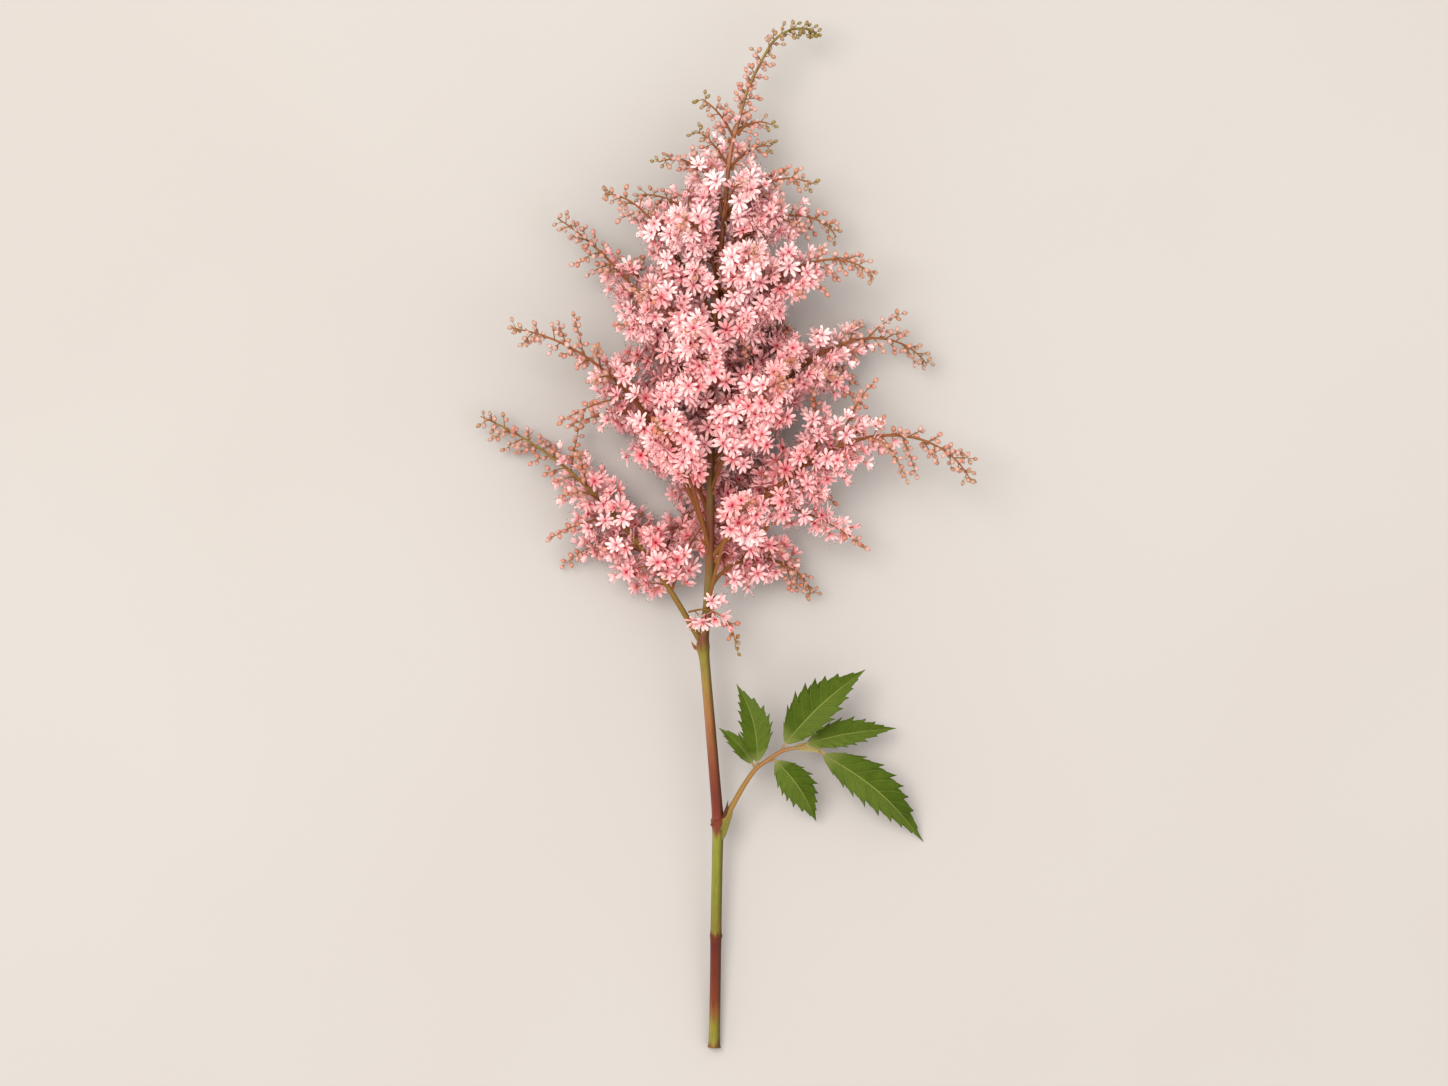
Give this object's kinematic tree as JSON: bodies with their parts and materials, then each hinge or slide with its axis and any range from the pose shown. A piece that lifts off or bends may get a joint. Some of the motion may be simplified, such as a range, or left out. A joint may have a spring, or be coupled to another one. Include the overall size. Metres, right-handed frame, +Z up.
{
  "type": "cut astilbe flowering stem",
  "caption": "Cut flowering stem lying on a surface: a feathery tapering plume of small pink florets on arching sprays, and one compound toothed leaf low on the stem.",
  "frame": {"origin": "on the surface the stem lies on, under the middle of the part's box", "axes": "+Y runs up the stem to the tip of the plume, +X is the side the leaf grows to, +Z is up from the surface"},
  "size_m": [0.1967, 0.4115, 0.0773],
  "materials": {
    "stem": "smooth green-brown stalk, waxy",
    "spray": "soft matt pink petals",
    "leaf_stalk": "smooth reddish stalk",
    "leaf": "satin green leaf with pale veins"
  },
  "bodies": {
    "root": {"stem": "stem", "leaf_stalk": "leaf_stalk", "leaflet_1": "leaf", "leaflet_2": "leaf", "leaflet_3": "leaf", "leaflet_4": "leaf", "leaflet_5": "leaf", "leaflet_6": "leaf", "spray_left_1": "spray", "spray_left_2": "spray", "spray_left_3": "spray", "spray_left_4": "spray", "spray_left_5": "spray", "spray_left_6": "spray", "spray_left_7": "spray", "spray_left_8": "spray", "spray_right_1": "spray", "spray_right_2": "spray", "spray_right_3": "spray", "spray_right_4": "spray", "spray_right_5": "spray", "spray_right_6": "spray", "spray_right_7": "spray", "spray_right_8": "spray", "spray_upper_1": "spray", "spray_upper_2": "spray", "spray_upper_3": "spray", "spray_upper_4": "spray", "spray_upper_5": "spray", "spray_upper_6": "spray", "spray_upper_7": "spray", "spray_upper_8": "spray", "spray_lower_1": "spray", "spray_lower_2": "spray", "spray_lower_3": "spray", "spray_lower_4": "spray", "spray_lower_5": "spray", "spray_lower_6": "spray"}
  },
  "joints": []
}
